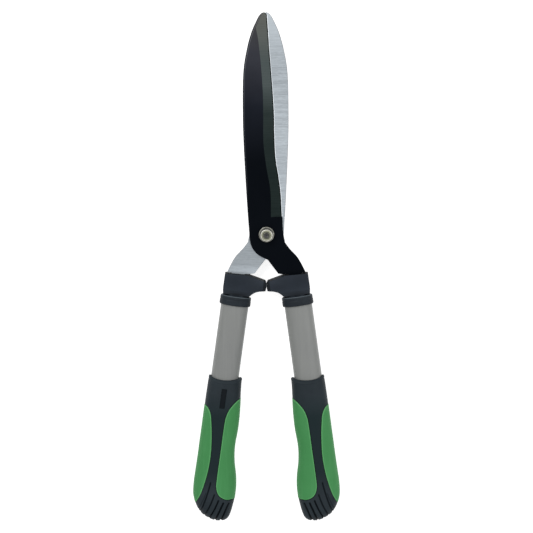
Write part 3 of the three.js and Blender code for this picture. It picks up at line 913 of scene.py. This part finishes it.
def evenly(points, count, crowd=0.0, closed=False):
    """`count` points spread along a polyline by length, drawn towards its ends by crowd, 0 to 1."""
    steps = np.linalg.norm(np.diff(points, axis=0), axis=1)
    run = np.concatenate([[0], np.cumsum(steps)])
    share = np.arange(count) / (count if closed else count - 1)
    share = (1 - crowd) * share + crowd * (1 - np.cos(math.pi * share)) / 2
    return np.column_stack([np.interp(share * run[-1], run, points[:, k]) for k in range(3)])


def grid_normals(grid, closed):
    """Outward unit normals of a grid of points whose columns run round the grip."""
    if closed:
        across = np.roll(grid, -1, axis=1) - np.roll(grid, 1, axis=1)
    else:
        across = np.gradient(grid, axis=1)
    down = np.gradient(grid, axis=0)
    return unit(np.cross(across, down))


def across_grip(u, row):
    """Where u lies across the form at a row, -1 to 1, with the form's v, half depth and squareness there."""
    v = row - rise(u, row)
    inner, outer, depth, square = (float(part(v)) for part in GRIP_PARTS)
    return (u - (inner + outer) / 2) / ((outer - inner) / 2), v, depth, square


def seam_points(seam):
    """The seam on the grip's form, front and back, as 3-D points."""
    found = []
    for u, row in spline(seam, 400):
        across, v, depth, square = across_grip(u, row)
        if abs(across) < 1:
            z = depth * (1 - abs(across) ** square) ** (1 / square)
            found += [(u, -v, z), (u, -v, -z)]
    return np.array(found)


def distance_to(points, targets):
    """Each point's distance to its nearest target, in blocks to save memory."""
    flat = points.reshape(-1, 3)
    found = np.empty(len(flat))
    for start in range(0, len(flat), 4000):
        block = flat[start:start + 4000]
        found[start:start + 4000] = np.sqrt(
            ((block[:, None, :] - targets[None, :, :]) ** 2).sum(2).min(1))
    return found.reshape(points.shape[:-1])


def inside_seam(seam, side, points):
    """True where a point of the form lies on the pad's side of its seam in plan."""
    plan = spline(seam, 400)
    u = points[..., 0]
    row = row_at(u, -points[..., 1])
    inside = (u - np.interp(row, plan[:, 1], plan[:, 0])) * side > 0
    return inside & (row > plan[0, 1]) & (row < plan[-1, 1])


def groove_depth(points):
    """How deep the toe's grooves go at each point."""
    u, v = points[..., 0], -points[..., 1]
    total = np.zeros(u.shape)
    for u0, v0, lean, bow, width, depth in GROOVES:
        c, s = math.cos(math.radians(lean)), math.sin(math.radians(lean))
        along = (u - u0) * s + (v - v0) * c
        across = (u - u0) * c - (v - v0) * s - bow * np.clip(along, 0, None) ** 2
        shape = np.clip(1 - (across / width) ** 2, 0, 1) ** 0.7
        total = np.maximum(total, depth * shape * smooth(along / 1.6))
    return total


def window_depth(points):
    """The moulding window on the grip's back face."""
    u, v, z = points[..., 0], -points[..., 1], points[..., 2]
    across = smooth((WINDOW["width"] / 2 - np.abs(u - WINDOW["u"])) / 0.5 + 0.5)
    along = smooth((WINDOW["length"] / 2 - np.abs(v - WINDOW["v"])) / 0.5 + 0.5)
    return WINDOW["depth"] * across * along * (z < 0)


def grip_rows():
    rim = GRIP_TOP + np.array([0, 0.15, 0.4, 0.8, 1.3, 1.9, 2.6])
    body = np.arange(GRIP_TOP + 3.2, TOE_START, 0.6 * COARSER)
    toe = TOE_START + (GRIP_END - TOE_START) * np.sin(np.linspace(0, math.pi / 2, 36 // COARSER))
    return np.concatenate([rim, body, toe])


def rim_drop(points):
    """How much lower the rim stands on the front and back faces and on the outer side."""
    scallop = RIM_SCALLOP * np.abs(points[..., 2] / REST_DEPTH) ** 1.5
    return scallop + RIM_SLANT * smooth((points[..., 0] + 19) / 37)


def note(item, name, values):
    """Stores a number for each vertex, for the piece's material to use."""
    stored = item.data.attributes.new(name, "FLOAT", "POINT")
    stored.data.foreach_set("value", np.asarray(values, float).ravel())


def make_grip_core(plastic):
    count = 340 // COARSER
    angles = np.linspace(0, 2 * math.pi, FORM_STEPS)
    rows = grip_rows()
    grid = np.array([evenly(section(v, angles, bend=False), count, closed=True) for v in rows])
    normal = grid_normals(grid, closed=True)
    groove, window = groove_depth(grid), window_depth(grid)
    drop = groove * (0.5 + 0.5 * np.abs(normal[..., 2])) + window
    # Painted shade in the toe's grooves, on the window's floor and along the pads' seams.
    painted_shade = np.maximum(groove / 1.3, 0.88 * window / WINDOW["depth"])
    for seam, side in ((INNER_SEAM, -1), (OUTER_SEAM, 1)):
        near = distance_to(grid, seam_points(seam))
        within = np.where(inside_seam(seam, side, grid), near, -near)
        drop = np.maximum(drop, (PAD_DEEP + 0.3) * smooth((within + SEAM_WIDTH) / 0.8))
        painted_shade = np.maximum(painted_shade, smooth(1 - (np.abs(within) / 1.2)))
    bead = RIM_BEAD * np.exp(-(((rows - GRIP_TOP - 1.9) / 1.1) ** 2))[:, None]
    form = grid
    grid = form + normal * (bead - drop)[..., None]
    grid[..., 2] = np.clip(grid[..., 2], -REST_DEPTH, REST_DEPTH)
    grid[..., 1] -= rim_drop(form) * (1 - smooth((rows - GRIP_TOP) / 16))[:, None]
    a, b = TUBE_HALF + 0.3
    bore = np.column_stack([a * np.cos(angles), np.zeros(FORM_STEPS), b * np.sin(angles)])
    bore = evenly(bore, count, closed=True)
    mouth = ((GRIP_TOP + 1.4, 1), (GRIP_TOP + 0.5, 1.03), (GRIP_TOP + 0.1, 1.09))
    inner = []
    for v, grow in ((TUBE_HIGH[1] + 0.3, 1), *mouth):
        ring = bore * (grow, 1, grow)
        ring[:, 1] = -v - (rim_drop(ring) if v < GRIP_TOP + 2 else 0)
        inner.append(ring)
    core = loft("core", inner + list(grid))
    note(core, "painted_shade", np.concatenate([np.zeros(len(inner) * count), painted_shade.ravel()]))
    on_both_handles(shade(slid(core), 60), "grip_core", "grip_plastic", plastic)


def pad_ends(seam, side):
    """The seam, and the rows at which it crosses the grip's side, at the top and at the bottom."""
    plan = spline(seam, 4000)
    edge = GRIP_PARTS[0 if side < 0 else 1](plan[:, 1] - rise(plan[:, 0], plan[:, 1]))
    on_grip = plan[(plan[:, 0] - edge) * side < 0]
    return plan, on_grip[0, 1], on_grip[-1, 1]


def make_grip_pad(seam, side, part, rubber):
    plan, top, bottom = pad_ends(seam, side)
    rows, count = 150 // COARSER, 56 // COARSER
    share = (1 - np.cos(np.linspace(0, math.pi, rows))) / 2
    grid = []
    for row in top + (bottom - top) * (0.0005 + 0.999 * share):
        across, _, _, square = across_grip(np.interp(row, plan[:, 1], plan[:, 0]), row)
        across = np.clip(across, -0.999999, 0.999999)
        turn = math.acos(math.copysign(abs(across) ** (square / 2), across))
        angles = np.linspace(turn, 2 * math.pi - turn, 240) if side < 0 else np.linspace(-turn, turn, 240)
        grid.append(evenly(section(row, angles), count, crowd=0.75))
    grid = np.array(grid)
    border = np.concatenate([grid[:, 0], grid[:, -1]])
    normal = grid_normals(grid, closed=False)
    near = distance_to(grid, border)
    fall = PAD_ROUND - np.sqrt(PAD_ROUND**2 - np.clip(PAD_ROUND - near, 0, PAD_ROUND) ** 2)
    face = grid + normal * (PAD_PROUD - fall)[..., None]
    back = grid - normal * PAD_DEEP
    face[..., 2] = np.clip(face[..., 2], -REST_DEPTH, REST_DEPTH)
    faces = ring_faces(rows, count, closed=False)
    total = rows * count
    faces += [tuple(i + total for i in reversed(f)) for f in faces]
    index = np.arange(total).reshape(rows, count)
    rim = np.concatenate([index[0], index[1:, -1], index[-1, -2::-1], index[-2:0:-1, 0]]).tolist()
    for a, b in zip(rim, rim[1:] + rim[:1]):
        faces.append((a, b, b + total, a + total))
    pad = face_out(new_object("pad", np.concatenate([face.reshape(-1, 3), back.reshape(-1, 3)]), faces))
    # Painted highlight along the pad's rounded border.
    note(pad, "rim", np.concatenate([np.exp(-((near.ravel() / 1.1) ** 2)), np.ones(total)]))
    on_both_handles(shade(slid(pad), 50), part, "green_rubber", rubber)


# ---- Pivot ----
NUT_FLATS = 13.0
BOLT_RADIUS = 4.0
THREAD_PITCH = 1.25
DIMPLE = ((2.75, 0.05), (2.45, 0.7), (1.9, 1.0), (0.6, 1.05))  # radius and depth, in the bolt's end
DIMPLE_SHADE = (0.6, 1, 0.8, 1)  # how much painted shade each of its rings gets
NUT_LOW, NUT_TOP = heights("lock_nut")
BOLT_HEAD, BOLT_END = heights("pivot_bolt")
WASHER_LOW, WASHER_TOP = heights("front_washer")
HEAD_RADIUS = turned_radius("pivot_bolt")
WASHER_RADIUS = turned_radius("front_washer")
NUT_COLLAR = 6.5  # radius of the round bright ring that the nut ends in
NUT_RECESS = (5.85, 2.2)  # radius and depth, for the nylon ring
NECK_CORNER = 5.1  # the bolt's square neck has its corners cut to this radius


def pivot_piece(item, node, slot, *materials):
    item.name = f"{node}_fine"
    finish_piece(item, HALF_TO_ROW["right"], "left", node, slot, *materials)


def make_washer(zinc_plate):
    r, low, high = WASHER_RADIUS - 0.15, WASHER_LOW, WASHER_TOP
    profile = arc((r - 0.35, low + 0.35), 0.35, -90, 0) + arc((r - 0.55, high - 0.55), 0.55, 0, 90)
    profile += [(r - 0.95, high), (r - 1.3, high)]
    profile += arc((4.6, high - 0.3), 0.3, 90, 180) + arc((4.6, low + 0.3), 0.3, 180, 270)
    washer = turned("washer", profile)
    places = vertex_places(washer)
    # Painted shadow on the washer's inner ring, round the nut.
    note(washer, "painted_shade", np.hypot(places[:, 0], places[:, 1]) < WASHER_RADIUS - 1.2)
    pivot_piece(shade(washer, 50), "front_washer", "zinc_steel", zinc_plate)


def make_nut(zinc_plate):
    """A hexagon with a round bright collar on top, hollowed for its nylon ring."""
    corner = NUT_FLATS / 2 / math.cos(math.pi / 6)
    nut = bar("nut", 6, corner, NUT_LOW, NUT_TOP, turn=math.radians(14))
    profile = [(0, NUT_LOW), (corner - 0.9, NUT_LOW), (corner + 0.05, NUT_LOW + 0.6),
               (corner + 0.05, NUT_TOP - 2.6), (NUT_COLLAR + 0.12, NUT_TOP - 2), (NUT_COLLAR, NUT_TOP - 1.6)]
    profile += arc((NUT_COLLAR - 0.5, NUT_TOP - 0.45), 0.5, 0, 90, 7) + [(0, NUT_TOP + 0.05)]
    cut(nut, turned("chamfer", profile), how="INTERSECT")
    cut(nut, bar("bore", 64, BOLT_RADIUS + 0.2, NUT_LOW - 1, NUT_TOP + 1))
    wide, deep = NUT_RECESS
    cut(nut, turned("recess", [(0, NUT_TOP - deep), (wide, NUT_TOP - deep), (wide, NUT_TOP - 0.5),
                               (5.7, NUT_TOP - 0.25), (5.7, NUT_TOP + 1), (0, NUT_TOP + 1)]))
    shade(round_edges(nut, 0.12, 2, 35), 35)
    places = vertex_places(nut)
    radius = np.hypot(places[:, 0], places[:, 1])
    # Painted shade on the hexagon's sides and shoulder, outside the round collar.
    note(nut, "painted_shade", (radius > 6.55) | (places[:, 2] < NUT_TOP - 1.2) & (radius > 5.8))
    pivot_piece(nut, "lock_nut", "zinc_steel", zinc_plate)


def make_nylon_ring(ring_material):
    low, high = NUT_TOP - 1.9, NUT_TOP - 0.45
    profile = arc((5.5, low + 0.2), 0.2, -90, 0, 3) + arc((5.2, high - 0.4), 0.45, 0, 90, 5)
    profile += arc((4.45, high - 0.35), 0.35, 90, 180, 5) + [(4.1, high - 0.8), (4.25, low + 0.4), (4.2, low)]
    pivot_piece(shade(turned("ring", profile), 50), "nut_nylon_ring", "nylon", ring_material)


def bolt_radius(z, angles):
    """The bolt's radius all round at one height: square neck, then a helical thread up to its chamfer."""
    if z < -BLADE_LOW:
        square = BOLT_RADIUS / np.maximum(np.abs(np.cos(angles)), np.abs(np.sin(angles)))
        return np.minimum(square, NECK_CORNER)
    turnwise = (z / THREAD_PITCH - angles / (2 * math.pi)) % 1.0
    depth = 0.62 * np.abs(2 * turnwise - 1) * smooth((z - NUT_LOW) / 0.6)
    return np.minimum(BOLT_RADIUS - depth, BOLT_RADIUS + 0.1 - max(0.0, z - BOLT_END + 1.0))


def make_bolt(zinc_plate, cut_steel):
    angles = round_angles(TURNED_STEPS)
    seat = -BLADE_HIGH - 0.3  # of the head, behind the rear blade
    dome = [(HEAD_RADIUS * math.sin(t), BOLT_HEAD + (seat - 0.8 - BOLT_HEAD) * (1 - math.cos(t)))
            for t in np.linspace(0.04, math.pi / 2, 16)]
    head = dome + arc((HEAD_RADIUS - 0.4, seat - 0.4), 0.4, 0, 90, 5)
    levels = np.concatenate([[seat, -BLADE_LOW - 0.02], np.arange(-BLADE_LOW, NUT_TOP - 2.4, 1.0),
                             np.arange(NUT_TOP - 2.4, BOLT_END - 0.001, 0.12), [BOLT_END]])
    radii = [*head, *((bolt_radius(z, angles), z) for z in levels), *((r, BOLT_END - z) for r, z in DIMPLE)]
    rings = [level_ring(circle(r, angles), z) for r, z in radii]
    bolt = loft("bolt", rings)
    # Painted shade in the dimple's rings.
    painted_shade_amount = np.zeros(len(bolt.data.vertices))
    painted_shade_amount[-len(DIMPLE) * TURNED_STEPS:] = np.repeat(DIMPLE_SHADE, TURNED_STEPS)
    note(bolt, "painted_shade", painted_shade_amount)
    give(bolt, zinc_plate, cut_steel)
    for face in bolt.data.polygons:
        face.material_index = int(face.center.z > -BLADE_LOW)
    pivot_piece(shade(bolt, 35), "pivot_bolt", "zinc_steel")


# ---- Camera, light and floor ----
VIEW_DISTANCE = 10.0
VIEW_TILT = math.radians(7)
VIEW_HEIGHT = 0.5805  # of the scene, at the mid-plane
VIEW_CENTRE = (0.0, -0.03564, 0)  # the picture's middle, from the pivot
FLOOR_GAP = 0.0002


def make_camera():
    data = bpy.data.cameras.new("camera")
    data.sensor_width = 36
    data.lens = data.sensor_width * VIEW_DISTANCE / VIEW_HEIGHT
    camera = in_scene("camera", data)
    target = PIVOT + Vector(VIEW_CENTRE)
    away = Vector((0, math.sin(VIEW_TILT), math.cos(VIEW_TILT)))
    camera.location = target + away * VIEW_DISTANCE
    camera.rotation_euler = (-VIEW_TILT, 0, 0)
    bpy.context.scene.camera = camera


def make_light(name, place, size, power, target):
    data = bpy.data.lights.new(name, "AREA")
    data.shape = "SQUARE"
    data.size = size
    data.energy = power
    light = in_scene(name, data)
    light.location = place
    light.rotation_euler = (Vector(target) - Vector(place)).to_track_quat("-Z", "Y").to_euler()


def make_studio():
    """A light tent: brightest overhead and dimmer towards the horizon, with two soft lamps."""
    world = bpy.data.worlds.new("studio")
    world.use_nodes = True
    tree = world.node_tree
    background = tree.nodes["Background"]
    place = tree.nodes.new("ShaderNodeTexCoord")
    split = tree.nodes.new("ShaderNodeSeparateXYZ")
    level = tree.nodes.new("ShaderNodeMapRange")
    fill(level, From_Min=0, From_Max=0.9, To_Min=0.25, To_Max=1)
    fill(background, Color=(1, 1, 1, 1))
    tree.links.new(place.outputs["Generated"], split.inputs[0])
    tree.links.new(split.outputs["Z"], level.inputs["Value"])
    tree.links.new(level.outputs["Result"], background.inputs["Strength"])
    bpy.context.scene.world = world
    bpy.context.scene.view_settings.view_transform = "Standard"
    make_light("key", (-0.8, 1.0, 1.5), 1.0, 14, (0, 0, 0))
    make_light("fill", (1.2, 0.2, 1.3), 1.2, 6, (0, 0, 0))


def make_floor():
    """A level pale floor under the grips' backs."""
    bpy.ops.mesh.primitive_grid_add(x_subdivisions=8, y_subdivisions=8, size=12)
    floor = bpy.context.object
    floor.name = "floor"
    floor.location = (0, 0, cad_box[0][2] - FLOOR_GAP)
    give(floor, white_floor())


# ---- The whole tool ----
def make_blades():
    finishes = (
        coated_steel(), coated_bevel(), ground_steel(),
        # Honed strip: brighter than the ground steel, partly its finer finish and partly a painted highlight
        # along the cutting edge.
        ground_steel("honed_steel", (224, 229, 233), (202, 209, 214)),
        # The lighter coating on the inner half of the spine's chamfer is a painted highlight.
        coated_steel("spine_highlight", 27), edge_shadow(),
    )
    for side in SIDES:
        blade = blade_mesh(f"{BLADE[side]}_fine", side == "left", finishes)
        if side == "left":
            lean_in(blade)
        slot = "coated_steel" if side == "right" else "ground_steel"
        finish_piece(shade(blade, 10), HALF_TO_ROW[side], side, BLADE[side], slot)


def main():
    plate = zinc("zinc_steel", (196, 195, 182), (242, 241, 232))
    plastic = moulded("dark_plastic", (24, 31, 39), (30, 37, 46), shade_and_highlight=True, edges=True)
    # The washer's zinc is painted darker than the nut's, as shade.
    shaded_washer_plate = zinc("washer_zinc_shaded", (112, 112, 105), (160, 160, 152))
    ring_plastic = moulded("collar_plastic", (9, 16, 23), (32, 39, 45), shade_and_highlight=True)
    grip = moulded("grip_plastic", (33, 40, 45), (40, 48, 53), specular=0.1, shade_and_highlight=True, waist=(22, 35, 38))
    rubber = moulded("black_rubber", (20, 23, 27), (26, 29, 34), (0.6, 0.75), 0.08, edges=True)
    green, paint = green_rubber(), grey_paint()
    make_camera()
    make_studio()
    make_floor()
    make_blades()
    make_ferrules(plastic, rubber)
    make_collars(ring_plastic)
    make_tubes(paint)
    make_grip_core(grip)
    make_grip_pad(INNER_SEAM, -1, "grip_pad_inner", green)
    make_grip_pad(OUTER_SEAM, 1, "grip_pad_outer", green)
    make_washer(shaded_washer_plate)
    make_nut(plate)
    make_nylon_ring(nylon())
    make_bolt(plate, bolt_end())
    for side in SIDES:
        pin = frame["nodes"][f"{side}_tang_pin"]
        pin.data.materials.clear()
        give(pin, plate)


main()
